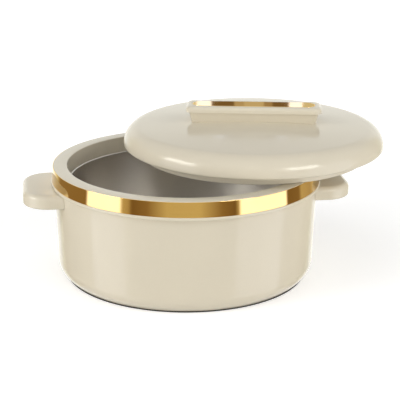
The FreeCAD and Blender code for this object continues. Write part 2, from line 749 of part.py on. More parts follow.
for side, angle in (("right", 0), ("left", 180)):
    lug_body = new_body("handle_" + side)
    raised(lug_body, "lug_block_" + side, "XY_Plane", "lug_bottom",
           lambda sketch: draw_loop(sketch, lug_outline("0", "mouth_radius")), "lug_height")
    soften_edges(lug_body, "lug_top_soft_" + side, outer_edge_at("lug_top", "mouth_radius"), "lug_top_round")
    soften_edges(lug_body, "lug_foot_soft_" + side, outer_edge_at("lug_bottom", "mouth_radius"),
                 "lug_foot_round")
    turned(lug_body, "lug_wall_face_" + side, [
        ("0", "lug_bottom - lug_height"),
        (shell_at("(lug_bottom - lug_height)") + " + seam_gap", "lug_bottom - lug_height"),
        (shell_at("(lug_top + lug_height)") + " + seam_gap", "lug_top + lug_height"),
        ("0", "lug_top + lug_height"),
    ], "PartDesign::Groove")
    sunk(lug_body, "lug_hollow_" + side, "XY_Plane", "lug_bottom",
         lambda sketch: draw_loop(sketch, lug_outline("lug_wall", "shell_top_radius + lug_back")),
         "lug_height - lug_wall", along_normal=True)
    raised(lug_body, "lug_bosses_" + side, "YZ_Plane", "shell_top_radius + lug_boss_root",
           lug_screw_circles("lug_boss_radius"), "lug_boss_length")
    sunk(lug_body, "lug_boss_holes_" + side, "YZ_Plane", "mouth_radius",
         lug_screw_circles("lug_screw_radius + screw_gap"),
         "lug_seat_face + lug_screw_length + fit_gap - mouth_radius", along_normal=True)
    lug_body.Placement = FreeCAD.Placement(FreeCAD.Vector(), FreeCAD.Rotation(FreeCAD.Vector(0, 0, 1), angle))
    nodes["handle_" + side] = lug_body

    lug_cover = new_body("handle_cover_" + side)
    raised(lug_cover, "lug_cover_plate_" + side, "XY_Plane", "lug_bottom",
           lambda sketch: draw_loop(sketch, lug_outline("lug_wall + seam_gap",
                                                        "shell_top_radius + lug_back + seam_gap")),
           "lug_cover_thick")
    lug_cover.Placement = lug_body.Placement
    nodes["handle_cover_" + side] = lug_cover

    way = 1 if side == "right" else -1
    places = []
    for spread in ("lug_screw_distance", "-lug_screw_distance"):
        point = ("lug_seat_face" if way > 0 else "-lug_seat_face", spread, "lug_screw_height")
        places.append((point, FreeCAD.Vector(0, 1, 0), 90 * way))
    nodes["handle_screws_" + side] = screws(
        "handle_screws_" + side, places, "lug_screw_head_radius", "lug_screw_head_height",
        "lug_screw_radius", "lug_screw_length",
    )


# Lid: a domed shell, a flat-bottomed liner that plugs the throat, and foam between them
def grip_screw_circles(radius):
    def draw(sketch):
        for side in ("", "-"):
            draw_circle(sketch, side + "grip_screw_distance", "0", radius)
    return draw


lid_body = new_body("lid_shell")
turned(lid_body, "lid_turned", dome("0", "plug_height") + [
    ("lid_radius - lid_wall", "plug_height"),
    ("lid_radius - lid_wall", "lid_shoulder_height"),
    ("(lid_crown_radius - lid_wall) * lid_join_sine",
     "lid_crown_middle + (lid_crown_radius - lid_wall) * lid_join_cosine",
     "lid_shoulder_radius - lid_wall", 1),
    ("0", "lid_crown - lid_wall", "lid_crown_radius - lid_wall", 1),
])
soften_rings(lid_body, "lid_edge", [("lid_radius", "plug_height")], "lid_edge_round")
raised(lid_body, "grip_seats", "XY_Plane", "grip_seat", grip_screw_circles("seat_radius"),
       "seat_depth + seat_bite")
sunk(lid_body, "grip_screw_holes", "XY_Plane", "grip_seat - seat_depth",
     grip_screw_circles("grip_screw_radius + screw_gap"), "seat_depth * 2 + lid_wall * 2", along_normal=True)
nodes["lid_shell"] = lid_body

liner_body = new_body("lid_liner")
turned(liner_body, "liner_turned", [
    ("plug_head_radius + seam_gap", "0"),
    ("plug_radius", "0"),
    ("plug_radius", "liner_bottom"),
    ("liner_radius", "liner_bottom"),
    ("liner_radius", "liner_top"),
    ("plug_radius - liner_wall", "liner_top"),
    ("plug_radius - liner_wall", "liner_wall"),
    ("plug_stem_radius + seam_gap", "liner_wall"),
    ("plug_stem_radius + seam_gap", "plug_head_thick + seam_gap"),
    ("plug_head_radius + seam_gap", "plug_head_thick + seam_gap"),
])
soften_rings(liner_body, "liner_edge", [("plug_radius", "0")], "plug_round")
nodes["lid_liner"] = liner_body

lid_plug = new_body("lid_fill_plug")
turned(lid_plug, "lid_plug_turned", [
    ("0", "seam_gap"),
    ("plug_head_radius", "seam_gap"),
    ("plug_head_radius", "plug_head_thick + seam_gap"),
    ("plug_stem_radius", "plug_head_thick + seam_gap"),
    ("plug_stem_radius", "plug_head_thick + seam_gap + plug_length"),
    ("0", "plug_head_thick + seam_gap + plug_length"),
])
nodes["lid_fill_plug"] = lid_plug

lid_foam = new_body("lid_foam")
turned(lid_foam, "lid_foam_turned", dome("lid_wall + fit_gap", "liner_top + fit_gap") + [
    ("plug_radius - liner_wall - fit_gap", "liner_top + fit_gap"),
    ("plug_radius - liner_wall - fit_gap", "liner_wall + fit_gap"),
    ("plug_stem_radius + fit_gap", "liner_wall + fit_gap"),
    ("plug_stem_radius + fit_gap", "plug_head_thick + seam_gap + plug_length + fit_gap"),
    ("0", "plug_head_thick + seam_gap + plug_length + fit_gap"),
])
sunk(lid_foam, "grip_screw_rooms", "XY_Plane", "lid_crown", grip_screw_circles("seat_radius + fit_gap"),
     "lid_crown - grip_head_bottom + fit_gap")
nodes["lid_foam"] = lid_foam

# Lid handle: a low block with an overhanging lip, hollow from below, with a gold plate let into its top
grip_body = new_body("lid_handle")
grip_foot = "lid_crown - lid_wall"
lower = new_sketch(grip_body, "grip_foot_outline", "XY_Plane", grip_foot)
draw_loop(lower, rounded_box("grip_half_length - grip_foot_inset_along",
                             "grip_half_width - grip_foot_inset_across", "grip_foot_corner"))
upper = new_sketch(grip_body, "grip_neck_outline", "XY_Plane", "grip_lip_bottom")
draw_loop(upper, rounded_box("grip_half_length - grip_neck_inset_along",
                             "grip_half_width - grip_neck_inset_across", "grip_neck_corner"))
neck = grip_body.newObject("PartDesign::AdditiveLoft", "grip_neck")
neck.Profile = lower
neck.Sections = [upper]
neck.Ruled = True
doc.recompute()
raised(grip_body, "grip_lip", "XY_Plane", "grip_lip_bottom",
       lambda sketch: draw_loop(sketch, rounded_box("grip_half_length", "grip_half_width", "grip_corner")),
       "grip_lip_height")
soften_edges(grip_body, "grip_top_soft", flat_at("grip_top"), "grip_top_round")
sunk(grip_body, "inlay_recess", "XY_Plane", "grip_top",
     lambda sketch: draw_loop(sketch, rounded_box("inlay_half_length + seam_gap",
                                                  "inlay_half_width + seam_gap",
                                                  "inlay_half_width - seam_gap")),
     "inlay_thick - inlay_proud")
sunk(grip_body, "grip_hollow", "XY_Plane", grip_foot,
     lambda sketch: draw_loop(sketch, rounded_box("grip_half_length - grip_foot_inset_along - grip_wall",
                                                  "grip_half_width - grip_foot_inset_across - grip_wall",
                                                  "grip_hollow_corner")),
     "grip_top - grip_wall - inlay_thick - (%s)" % grip_foot, along_normal=True)
raised(grip_body, "grip_bosses", "XY_Plane", grip_foot, grip_screw_circles("grip_boss_radius"),
       "grip_top - grip_wall - (%s)" % grip_foot)
sunk(grip_body, "grip_boss_holes", "XY_Plane", grip_foot, grip_screw_circles("grip_screw_radius + screw_gap"),
     "grip_seat + grip_screw_length + fit_gap - (%s)" % grip_foot, along_normal=True)
turned(grip_body, "grip_dome_face", dome("-seam_gap", "0") + [("0", "0")], "PartDesign::Groove")
nodes["lid_handle"] = grip_body

inlay_body = new_body("lid_handle_inlay")
raised(inlay_body, "inlay_plate", "XY_Plane", "grip_top + inlay_proud - inlay_thick",
       lambda sketch: draw_loop(sketch, rounded_box("inlay_half_length", "inlay_half_width",
                                                    "inlay_half_width - 2 * seam_gap")),
       "inlay_thick")
soften_edges(inlay_body, "inlay_soft", flat_at("grip_top + inlay_proud"), "inlay_round")
nodes["lid_handle_inlay"] = inlay_body

grip_places = []
for spread in ("grip_screw_distance", "-grip_screw_distance"):
    grip_places.append(((spread, "0", "washer_bottom"), FreeCAD.Vector(0, 0, 1), 0))
nodes["lid_handle_screws"] = screws(
    "lid_handle_screws", grip_places, "grip_screw_head_radius", "grip_screw_head_height",
    "grip_screw_radius", "grip_screw_length",
)

washers = []
for index, spread in enumerate(("grip_screw_distance", "-grip_screw_distance"), start=1):
    disc = doc.addObject("Part::Cylinder", "washer_disc_%d" % index)
    disc.setExpression("Radius", bound("washer_radius"))
    hole = doc.addObject("Part::Cylinder", "washer_hole_%d" % index)
    hole.setExpression("Radius", bound("grip_screw_radius + screw_gap"))
    for piece in (disc, hole):
        piece.setExpression("Height", bound("washer_thick"))
        piece.setExpression("Placement.Base.x", bound(spread))
        piece.setExpression("Placement.Base.z", bound("washer_bottom"))
    washer = doc.addObject("Part::Cut", "washer_%d" % index)
    washer.Base = disc
    washer.Tool = hole
    washers.append(washer)
washer_pair = doc.addObject("Part::Compound", "lid_handle_washers")
washer_pair.Label = "lid_handle_washers"
washer_pair.Links = washers
nodes["lid_handle_washers"] = washer_pair

for name, item in nodes.items():
    if name.startswith("lid_"):
        place_on_lid(item)
doc.recompute()

# Every object has to have worked before anything is written
for item in doc.Objects:
    if "Invalid" in item.State or "Error" in item.State:
        raise RuntimeError("%s failed: %s" % (item.Label, item.State))
for name, item in nodes.items():
    if item.Shape.isNull() or not item.Shape.isValid() or not item.Shape.Solids:
        raise RuntimeError("%s has no valid solid" % name)

os.makedirs("parts", exist_ok=True)
for name, item in nodes.items():
    item.Shape.exportStep("parts/%s.step" % name)
    print("%-22s %2d solids %10.1f mm3" % (name, len(item.Shape.Solids), item.Shape.Volume))
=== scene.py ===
import json
import math

import bmesh
import bpy
from mathutils import Matrix, Quaternion, Vector


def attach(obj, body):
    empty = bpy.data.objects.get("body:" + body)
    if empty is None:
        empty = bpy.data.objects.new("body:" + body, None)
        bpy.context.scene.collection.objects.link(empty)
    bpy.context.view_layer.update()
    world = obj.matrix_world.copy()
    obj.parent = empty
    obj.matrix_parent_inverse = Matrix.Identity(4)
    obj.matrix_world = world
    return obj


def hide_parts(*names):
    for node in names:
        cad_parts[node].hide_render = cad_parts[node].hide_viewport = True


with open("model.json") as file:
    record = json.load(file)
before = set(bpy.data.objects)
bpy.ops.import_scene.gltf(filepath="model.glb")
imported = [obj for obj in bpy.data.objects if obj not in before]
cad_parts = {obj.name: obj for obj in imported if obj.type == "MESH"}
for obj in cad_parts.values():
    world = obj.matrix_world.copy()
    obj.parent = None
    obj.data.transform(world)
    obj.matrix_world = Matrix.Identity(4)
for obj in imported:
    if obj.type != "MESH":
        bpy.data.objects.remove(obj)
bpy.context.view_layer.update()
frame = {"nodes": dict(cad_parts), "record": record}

nodes = frame["nodes"]
print("loaded the frame with", len(nodes), "nodes")

# Camera: the photograph's own angle, a long lens from slightly above
camera = {
    "place": (-0.1355, -1.1029, 0.4194),
    "target": (0.01295, -0.00175, 0.06555),
    "roll": 0.341,
    "lens": 114.72,
    "sensor": 36,
    "nearest": 0.05,
    "farthest": 50,
}


def makeCamera(values):
    data = bpy.data.cameras.new("photoCamera")
    data.lens = values["lens"]
    data.sensor_width = values["sensor"]
    data.clip_start = values["nearest"]
    data.clip_end = values["farthest"]
    item = bpy.data.objects.new("photoCamera", data)
    bpy.context.scene.collection.objects.link(item)
    aim = Vector(values["target"]) - Vector(values["place"])
    item.rotation_mode = "QUATERNION"
    item.location = values["place"]
    roll = Quaternion((0, 0, 1), math.radians(values["roll"]))
    item.rotation_quaternion = aim.to_track_quat("-Z", "Y") @ roll
    bpy.context.scene.camera = item


makeCamera(camera)


# Shader helpers: a node with its inputs set, a change of range, a sum, and a group with its sockets
def addNode(tree, kind, inputs=None, **settings):
    node = tree.nodes.new(kind)
    for name, value in settings.items():
        setattr(node, name, value)
    for name, value in (inputs or {}).items():
        node.inputs[name].default_value = value
    return node


def mapRange(tree, source, fromRange, toRange, **settings):
    node = addNode(tree, "ShaderNodeMapRange", {
        "From Min": fromRange[0], "From Max": fromRange[1], "To Min": toRange[0], "To Max": toRange[1],
    }, **settings)
    tree.links.new(source, node.inputs["Value"])
    return node.outputs["Result"]


def calculate(tree, operation, first, second, **settings):
    node = addNode(tree, "ShaderNodeMath", operation=operation, **settings)
    for socket, value in zip(node.inputs, (first, second)):
        if isinstance(value, float):
            socket.default_value = value
        else:
            tree.links.new(value, socket)
    return node.outputs[0]


def newGroup(name, inputs, outputs):
    tree = bpy.data.node_groups.new(name, "ShaderNodeTree")
    for label, kind, value in inputs:
        socket = tree.interface.new_socket(name=label, in_out="INPUT",
                                           socket_type="NodeSocket" + kind)
        socket.default_value = value
    for label, kind in outputs:
        tree.interface.new_socket(name=label, in_out="OUTPUT",
                                  socket_type="NodeSocket" + kind)
    return tree, tree.nodes.new("NodeGroupInput"), tree.nodes.new("NodeGroupOutput")


def softDirtAndEdgeHighlight():
    # slow cloudy change of tone, fine specks, and lighter outward edges that are partly rubbed wear and
    # partly a painted highlight, in the piece's own metres
    tree, given, result = newGroup(
        "softDirtAndEdgeHighlight",
        [("Colour", "Color", (0.8, 0.8, 0.8, 1)), ("Edge Wear And Highlight", "Color", (0.9, 0.9, 0.9, 1)),
         ("Cloud Size", "Float", 12.0), ("Cloud Amount", "Float", 0.05),
         ("Speck Size", "Float", 900.0), ("Speck Amount", "Float", 0.03),
         ("Edge Amount", "Float", 0.3), ("Roughness", "Float", 0.3),
         ("Smear Amount", "Float", 0.08)],
        [("Colour", "Color"), ("Roughness", "Float")],
    )
    link = tree.links.new
    place = addNode(tree, "ShaderNodeTexCoord")
    cloud = addNode(tree, "ShaderNodeTexNoise", {"Detail": 4.0, "Roughness": 0.6})
    speck = addNode(tree, "ShaderNodeTexNoise", {"Detail": 2.0})
    smear = addNode(tree, "ShaderNodeTexNoise", {"Scale": 34.0, "Detail": 5.0, "Distortion": 1.2})
    for texture in (cloud, speck, smear):
        link(place.outputs["Object"], texture.inputs["Vector"])
    link(given.outputs["Cloud Size"], cloud.inputs["Scale"])
    link(given.outputs["Speck Size"], speck.inputs["Scale"])
    middleTones, bothWays = (0.3, 0.7), (-1.0, 1.0)
    cloudShift = mapRange(tree, cloud.outputs["Fac"], middleTones, bothWays)
    speckShift = mapRange(tree, speck.outputs["Fac"], (0.35, 0.65), bothWays)
    smearShift = mapRange(tree, smear.outputs["Fac"], middleTones, bothWays)
    tone = calculate(
        tree, "ADD",
        calculate(tree, "MULTIPLY", cloudShift, given.outputs["Cloud Amount"]),
        calculate(tree, "MULTIPLY", speckShift, given.outputs["Speck Amount"]),
    )
    toned = addNode(tree, "ShaderNodeVectorMath", operation="SCALE")
    link(given.outputs["Colour"], toned.inputs[0])
    link(calculate(tree, "ADD", tone, 1.0), toned.inputs["Scale"])
    # outward edges take the lighter edge colour, partly as rubbed wear and partly as a painted
    # highlight; the mask is the mesh's own point attribute, broken up by the smears
    edge = addNode(tree, "ShaderNodeAttribute", attribute_name="edgeWearAndHighlight")
    broken = mapRange(tree, smear.outputs["Fac"], (0.35, 0.62), (0.35, 1.0))
    edgeMask = calculate(tree, "MULTIPLY", edge.outputs["Fac"], broken)
    edgeShare = calculate(tree, "MULTIPLY", edgeMask, given.outputs["Edge Amount"], use_clamp=True)
    wornAndHighlit = addNode(tree, "ShaderNodeMix", data_type="RGBA")
    link(edgeShare, wornAndHighlit.inputs["Factor"])
    link(toned.outputs["Vector"], wornAndHighlit.inputs[6])
    link(given.outputs["Edge Wear And Highlight"], wornAndHighlit.inputs[7])
    smearTone = calculate(tree, "MULTIPLY", smearShift, given.outputs["Smear Amount"])
    rough = calculate(tree, "ADD", smearTone, given.outputs["Roughness"], use_clamp=True)
    link(wornAndHighlit.outputs[2], result.inputs["Colour"])
    link(rough, result.inputs["Roughness"])
    return tree


def turnedLines():
    # fine concentric lines that polishing leaves on spun metal, which follow radius and height
    tree, given, result = newGroup(
        "turnedLines",
        [("Line Scale", "Float", 900.0), ("Break Scale", "Float", 2.0)],
        [("Lines", "Float")],
    )
    link = tree.links.new
    place = addNode(tree, "ShaderNodeTexCoord")
    split = addNode(tree, "ShaderNodeSeparateXYZ")
    link(place.outputs["Object"], split.inputs[0])
    flat = addNode(tree, "ShaderNodeCombineXYZ")
    link(split.outputs["X"], flat.inputs["X"])
    link(split.outputs["Y"], flat.inputs["Y"])
    radius = addNode(tree, "ShaderNodeVectorMath", operation="LENGTH")
    link(flat.outputs[0], radius.inputs[0])
    around = addNode(tree, "ShaderNodeVectorMath", operation="NORMALIZE")
    link(flat.outputs[0], around.inputs[0])
    broken = addNode(tree, "ShaderNodeVectorMath", operation="SCALE")
    link(around.outputs["Vector"], broken.inputs[0])
    link(given.outputs["Break Scale"], broken.inputs["Scale"])
    ring = calculate(tree, "ADD", radius.outputs["Value"], split.outputs["Z"])
    texture = addNode(tree, "ShaderNodeTexNoise", {"Scale": 1.0, "Detail": 3.0, "Roughness": 0.7},
                      noise_dimensions="4D")
    link(broken.outputs["Vector"], texture.inputs["Vector"])
    link(calculate(tree, "MULTIPLY", ring, given.outputs["Line Scale"]), texture.inputs["W"])
    link(texture.outputs["Fac"], result.inputs["Lines"])
    return tree


dirtAndHighlightGroup = softDirtAndEdgeHighlight()
lineGroup = turnedLines()


def makeMaterial(name, values):
    material = bpy.data.materials.new(name)
    material.use_nodes = True
    tree = material.node_tree
    link = tree.links.new
    shader = tree.nodes["Principled BSDF"]
    shader.inputs["Metallic"].default_value = values.get("metallic", 0.0)
    shader.inputs["IOR"].default_value = values.get("ior", 1.45)
    dirtAndHighlight = addNode(tree, "ShaderNodeGroup", node_tree=dirtAndHighlightGroup)
    for socket, key in (("Colour", "colour"), ("Edge Wear And Highlight", "wornAndHighlit")):
        dirtAndHighlight.inputs[socket].default_value = (*values[key], 1)
    for socket, key in (
        ("Cloud Size", "cloudSize"), ("Cloud Amount", "cloudAmount"), ("Speck Size", "speckSize"),
        ("Speck Amount", "speckAmount"), ("Edge Amount", "edgeAmount"), ("Roughness", "roughness"),
        ("Smear Amount", "smearAmount"),
    ):
        dirtAndHighlight.inputs[socket].default_value = values[key]
    link(dirtAndHighlight.outputs["Colour"], shader.inputs["Base Color"])
    link(dirtAndHighlight.outputs["Roughness"], shader.inputs["Roughness"])
    bump = addNode(tree, "ShaderNodeBump", {
        "Strength": values["bumpStrength"], "Distance": values["bumpDepth"],
    })
    if values.get("lineScale"):
        lines = addNode(tree, "ShaderNodeGroup", node_tree=lineGroup)
        lines.inputs["Line Scale"].default_value = values["lineScale"]
        link(lines.outputs["Lines"], bump.inputs["Height"])
    else:
        place = addNode(tree, "ShaderNodeTexCoord")
        grain = addNode(tree, "ShaderNodeTexNoise", {"Scale": values["grainSize"], "Detail": 3.0})
        link(place.outputs["Object"], grain.inputs["Vector"])
        link(grain.outputs["Fac"], bump.inputs["Height"])
    link(bump.outputs["Normal"], shader.inputs["Normal"])
    return material


# the second, lighter colour of each material goes on outward edges: partly rubbed wear, partly a painted
# highlight
creamPlastic = {
    "colour": (0.655, 0.595, 0.470), "wornAndHighlit": (0.75, 0.70, 0.59), "roughness": 0.12, "ior": 1.32,
    "cloudSize": 9.0, "cloudAmount": 0.018, "speckSize": 1500.0, "speckAmount": 0.012,
    "edgeAmount": 0.35, "smearAmount": 0.04,
    "grainSize": 420.0, "bumpStrength": 0.04, "bumpDepth": 0.0006,
}
goldTrim = {
    "colour": (0.80, 0.56, 0.23), "wornAndHighlit": (0.92, 0.76, 0.42), "metallic": 1.0, "roughness": 0.05,
    "cloudSize": 16.0, "cloudAmount": 0.03, "speckSize": 2600.0, "speckAmount": 0.03,
    "edgeAmount": 0.6, "smearAmount": 0.015,
    "lineScale": 420.0, "bumpStrength": 0.01, "bumpDepth": 0.0002,
}
bowlSteel = {
    "colour": (0.66, 0.635, 0.60), "wornAndHighlit": (0.76, 0.75, 0.73), "metallic": 1.0, "roughness": 0.32,
    "cloudSize": 14.0, "cloudAmount": 0.03, "speckSize": 1800.0, "speckAmount": 0.03,
    "edgeAmount": 0.5, "smearAmount": 0.025,
    "lineScale": 300.0, "bumpStrength": 0.03, "bumpDepth": 0.0003,
}
screwSteel = {
    "colour": (0.52, 0.52, 0.52), "wornAndHighlit": (0.75, 0.75, 0.75), "metallic": 1.0, "roughness": 0.34,
    "cloudSize": 60.0, "cloudAmount": 0.08, "speckSize": 2200.0, "speckAmount": 0.05,
    "edgeAmount": 0.4, "smearAmount": 0.08,
    "grainSize": 1500.0, "bumpStrength": 0.15, "bumpDepth": 0.0003,
}
footRubber = {
    "colour": (0.022, 0.021, 0.020), "wornAndHighlit": (0.075, 0.072, 0.068), "roughness": 0.72,
    "cloudSize": 30.0, "cloudAmount": 0.2, "speckSize": 1500.0, "speckAmount": 0.2,
    "edgeAmount": 0.5, "smearAmount": 0.08,
    "grainSize": 1200.0, "bumpStrength": 0.3, "bumpDepth": 0.0004,
}
sealRubber = dict(footRubber, colour=(0.30, 0.29, 0.28), wornAndHighlit=(0.40, 0.39, 0.38), roughness=0.6)
foam = {
    "colour": (0.80, 0.70, 0.42), "wornAndHighlit": (0.86, 0.78, 0.54), "roughness": 0.85,
    "cloudSize": 20.0, "cloudAmount": 0.08, "speckSize": 700.0, "speckAmount": 0.1,
    "edgeAmount": 0.2, "smearAmount": 0.05,
    "grainSize": 700.0, "bumpStrength": 0.6, "bumpDepth": 0.0012,
}
materials = {
    "cream_plastic": makeMaterial("creamPlastic", creamPlastic),
    "gold_trim": makeMaterial("goldTrim", goldTrim),
    "bowl_steel": makeMaterial("bowlSteel", bowlSteel),
    "screw_steel": makeMaterial("screwSteel", screwSteel),
    "foot_rubber": makeMaterial("footRubber", footRubber),
    "seal_rubber": makeMaterial("sealRubber", sealRubber),
    "foam": makeMaterial("foam", foam),
}
slots = {part["node"]: part["material_slot"] for part in frame["record"]["subparts"]}
for name, item in nodes.items():
    item.data.materials.clear()
    item.data.materials.append(materials[slots[name]])
print("materials made")


# Modelling helpers. Two heights or lengths count as the same when they are nearer than this
near = 0.00001
finish = {"mergeDistance": 0.000002, "sharpAngle": 32, "wearAndHighlightReach": 0.0015, "shortestEdge": 0.0004}


def newObject(name, bm):
    mesh = bpy.data.meshes.new(name)
    bm.to_mesh(mesh)
    bm.free()
    item = bpy.data.objects.new(name, mesh)
    bpy.context.scene.collection.objects.link(item)
    return item


def roundOff(bm, geom, offset, segments, affect="EDGES"):
    bmesh.ops.bevel(bm, geom=geom, offset=offset, offset_type="OFFSET", segments=segments,
                    profile=0.5, affect=affect, material=-1)


def markEdges(mesh, values):
    # edge mask for rubbed wear and a painted edge highlight: up to 1 on points whose faces turn sharply
    # outwards, 0 on flats
    bm = bmesh.new()
    bm.from_mesh(mesh)
    wear = []
    for vert in bm.verts:
        turns = [edge.calc_face_angle_signed(0) / max(edge.calc_length(), values["shortestEdge"])
                 for edge in vert.link_edges if len(edge.link_faces) == 2]
        wear.append(min(max(turns, default=0) * values["wearAndHighlightReach"], 1.0))
    bm.free()
    mesh.attributes.new("edgeWearAndHighlight", "FLOAT", "POINT").data.foreach_set("value", wear)


def finishPiece(name, bm, slot, body, standsFor):
    bmesh.ops.remove_doubles(bm, verts=bm.verts[:], dist=finish["mergeDistance"])
    bmesh.ops.recalc_face_normals(bm, faces=bm.faces[:])
    piece = newObject(name, bm)
    mesh = piece.data
    for polygon in mesh.polygons:
        polygon.use_smooth = True
    mesh.set_sharp_from_angle(angle=math.radians(finish["sharpAngle"]))
    markEdges(mesh, finish)
    mesh.materials.append(materials[slot])
    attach(piece, body)
    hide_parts(*standsFor)
    print("made", name, "with", len(mesh.polygons), "faces")


def walkProfile(bm, start, moves):
    # an outline in the XZ plane: straight runs to (radius, height, rounding), and arcs about a centre
    first = bm.verts.new((start[0], 0, start[1]))
    vert = first
    rounded = {}
    if len(start) > 2:
        rounded[first] = start[2]
    for move in moves:
        if isinstance(move, dict):
            centre = (move["about"][0], 0, move["about"][1])
            spun = bmesh.ops.spin(bm, geom=[vert], cent=centre, axis=(0, 1, 0), angle=move["angle"],
                                  steps=move["steps"])
            vert = [item for item in spun["geom_last"] if isinstance(item, bmesh.types.BMVert)][0]
            continue
        following = bm.verts.new((move[0], 0, move[1]))
        bm.edges.new((vert, following))
        vert = following
        if len(move) > 2:
            rounded[vert] = move[2]
    return first, vert, rounded


def roundCorner(before, corner, after, radius, steps):
    # the straight run up to a rounded corner of any angle, and then its arc
    arriving = (Vector(corner) - Vector(before)).normalized()
    leaving = (Vector(after) - Vector(corner)).normalized()
    turn = arriving.angle_signed(leaving)
    start = Vector(corner) - arriving * radius * math.tan(abs(turn) / 2)
    side = Vector((arriving.y, -arriving.x)) * math.copysign(radius, turn)
    return [tuple(start), {"about": tuple(start + side), "angle": turn, "steps": steps}]


def lathe(start, moves, closed=True, steps=192, segments=5):
    bm = bmesh.new()
    first, last, rounded = walkProfile(bm, start, moves)
    if closed:
        bm.edges.new((last, first))
    for radius in sorted(set(rounded.values())):
        corners = [vert for vert, value in rounded.items() if value == radius and vert.is_valid]
        roundOff(bm, corners, radius, segments, "VERTICES")
    bmesh.ops.spin(bm, geom=bm.verts[:] + bm.edges[:], cent=(0, 0, 0), axis=(0, 0, 1),
                   angle=2 * math.pi, steps=steps, use_merge=True)
    return bm


# Pot wall: a slightly tapered tub that tucks in at its foot, with an inner ledge and a spigot
# that goes up inside the collar
potWall = {
    "footRadius": 0.1161, "topRadius": 0.1187, "foot": 0.001, "middle": 0.045, "top": 0.08545,
    "wall": 0.0024, "edgeRound": 0.0003, "tuck": 0.0072, "tuckHeight": 0.007, "tuckRise": 0.001014,
    "corner": 0.0175, "innerCorner": 0.011, "spigotRadius": 0.1167, "spigotWall": 0.002,
    "spigotTop": 0.0951, "ledgeTop": 0.08465, "ledgeBottom": 0.08245, "ledgeReach": 0.1087,
    "flangeRadius": 0.0956, "flangeBottom": 0.003, "flangeTop": 0.0054, "seat": 0.10525,
    "grooveInner": 0.10665, "grooveOuter": 0.10815, "grooveTop": 0.00235,
}


def wallRadiusAt(height):
    slope = (potWall["topRadius"] - potWall["footRadius"]) / (potWall["top"] - potWall["foot"])
    return potWall["footRadius"] + slope * (height - potWall["foot"])


def makePotWall(values):
    edge = (values["footRadius"] - values["tuck"], values["foot"])
    tuckTop = values["foot"] + values["tuckHeight"]
    innerTop = tuckTop + values["tuckRise"]
    outer = (wallRadiusAt(tuckTop), tuckTop)
    inner = (wallRadiusAt(innerTop) - values["wall"], innerTop)
    slant = values["tuck"] * (innerTop - values["flangeTop"]) / values["tuckHeight"]
    innerFoot = (wallRadiusAt(values["flangeTop"]) - values["wall"] - slant, values["flangeTop"])
    spigotInner = values["spigotRadius"] - values["spigotWall"]
    underLedge = (wallRadiusAt(values["ledgeBottom"]) - values["wall"], values["ledgeBottom"])
    bm = lathe(
        (values["flangeRadius"], values["flangeBottom"]),
        [
            (values["seat"], values["flangeBottom"]),
            (values["seat"], values["foot"], values["edgeRound"]),
            (values["grooveInner"], values["foot"]),
            (values["grooveInner"], values["grooveTop"]),
            (values["grooveOuter"], values["grooveTop"]),
            (values["grooveOuter"], values["foot"]),
            edge,
            *roundCorner(edge, outer, (values["topRadius"], values["top"]), values["corner"], 14),
            (wallRadiusAt(values["middle"]), values["middle"]),
            (values["topRadius"], values["top"], values["edgeRound"]),
            (values["spigotRadius"], values["top"]),
            (values["spigotRadius"], values["spigotTop"]),
            (spigotInner, values["spigotTop"]),
            (spigotInner, values["ledgeTop"]),
            (values["ledgeReach"], values["ledgeTop"]),
            (values["ledgeReach"], values["ledgeBottom"]),
            underLedge,
            *roundCorner(underLedge, inner, innerFoot, values["innerCorner"], 8),
            innerFoot,
            (values["flangeRadius"], values["flangeTop"]),
        ],
        segments=8,
    )
    finishPiece("potWall", bm, "cream_plastic", "pot", ["outer_shell"])


makePotWall(potWall)

# Rubber ring that the pot stands on
standRing = {
    "inner": 0.1052, "outer": 0.1096, "height": 0.001, "edgeRound": 0.0003,
    "tongueInner": 0.1068, "tongueOuter": 0.108, "tongueTop": 0.0022,
}


def makeStandRing(values):
    bm = lathe(
        (values["inner"], 0.0, values["edgeRound"]),
        [
            (values["outer"], 0.0, values["edgeRound"]),
            (values["outer"], values["height"]),
            (values["tongueOuter"], values["height"]),
            (values["tongueOuter"], values["tongueTop"]),
            (values["tongueInner"], values["tongueTop"]),
            (values["tongueInner"], values["height"]),
            (values["inner"], values["height"]),
        ],
        segments=3,
    )
    finishPiece("standRing", bm, "foot_rubber", "pot", ["foot_ring"])


makeStandRing(standRing)

# Rim: the pale flat top, the sloping throat, the skirt behind the band and the lip under it
rim = {
    "rimHeight": 0.1017, "mouth": 0.1072, "throat": 0.106, "throatHeight": 0.08735, "wall": 0.0024,
    "outer": 0.1194, "outerRound": 0.0002, "bandTop": 0.1014, "bandFoot": 0.1205, "lip": 0.1219,
    "lipTop": 0.0884, "lipBottom": 0.0856, "lipRound": 0.0009, "skirt": 0.117, "edgeRound": 0.0005,
}


def makeRim(values):
    bm = lathe(
        (values["throat"], values["throatHeight"]),
        [
            (values["throat"] + values["wall"], values["throatHeight"]),
            (values["mouth"] + values["wall"], values["rimHeight"] - values["wall"]),
            (values["skirt"], values["rimHeight"] - values["wall"]),
            (values["skirt"], values["lipBottom"]),
            (values["lip"], values["lipBottom"], values["lipRound"]),
            (values["lip"], values["lipTop"], values["lipRound"]),
            (values["bandFoot"], values["lipTop"]),
            (values["outer"], values["bandTop"]),
            (values["outer"], values["rimHeight"], values["outerRound"]),
            (values["mouth"], values["rimHeight"], values["edgeRound"]),
        ],
        segments=5,
    )
    finishPiece("rimAndThroat", bm, "cream_plastic", "pot", ["rim_collar"])


makeRim(rim)

# Metallic band round the rim: thin sheet, slightly flared, with rounded edges
band = {
    "top": 0.1014, "bottom": 0.0884, "topRadius": 0.12, "bottomRadius": 0.1211, "thick": 0.00045,
    "topRound": 0.00022, "bottomRound": 0.00015, "flatFrom": 0.0006,
}


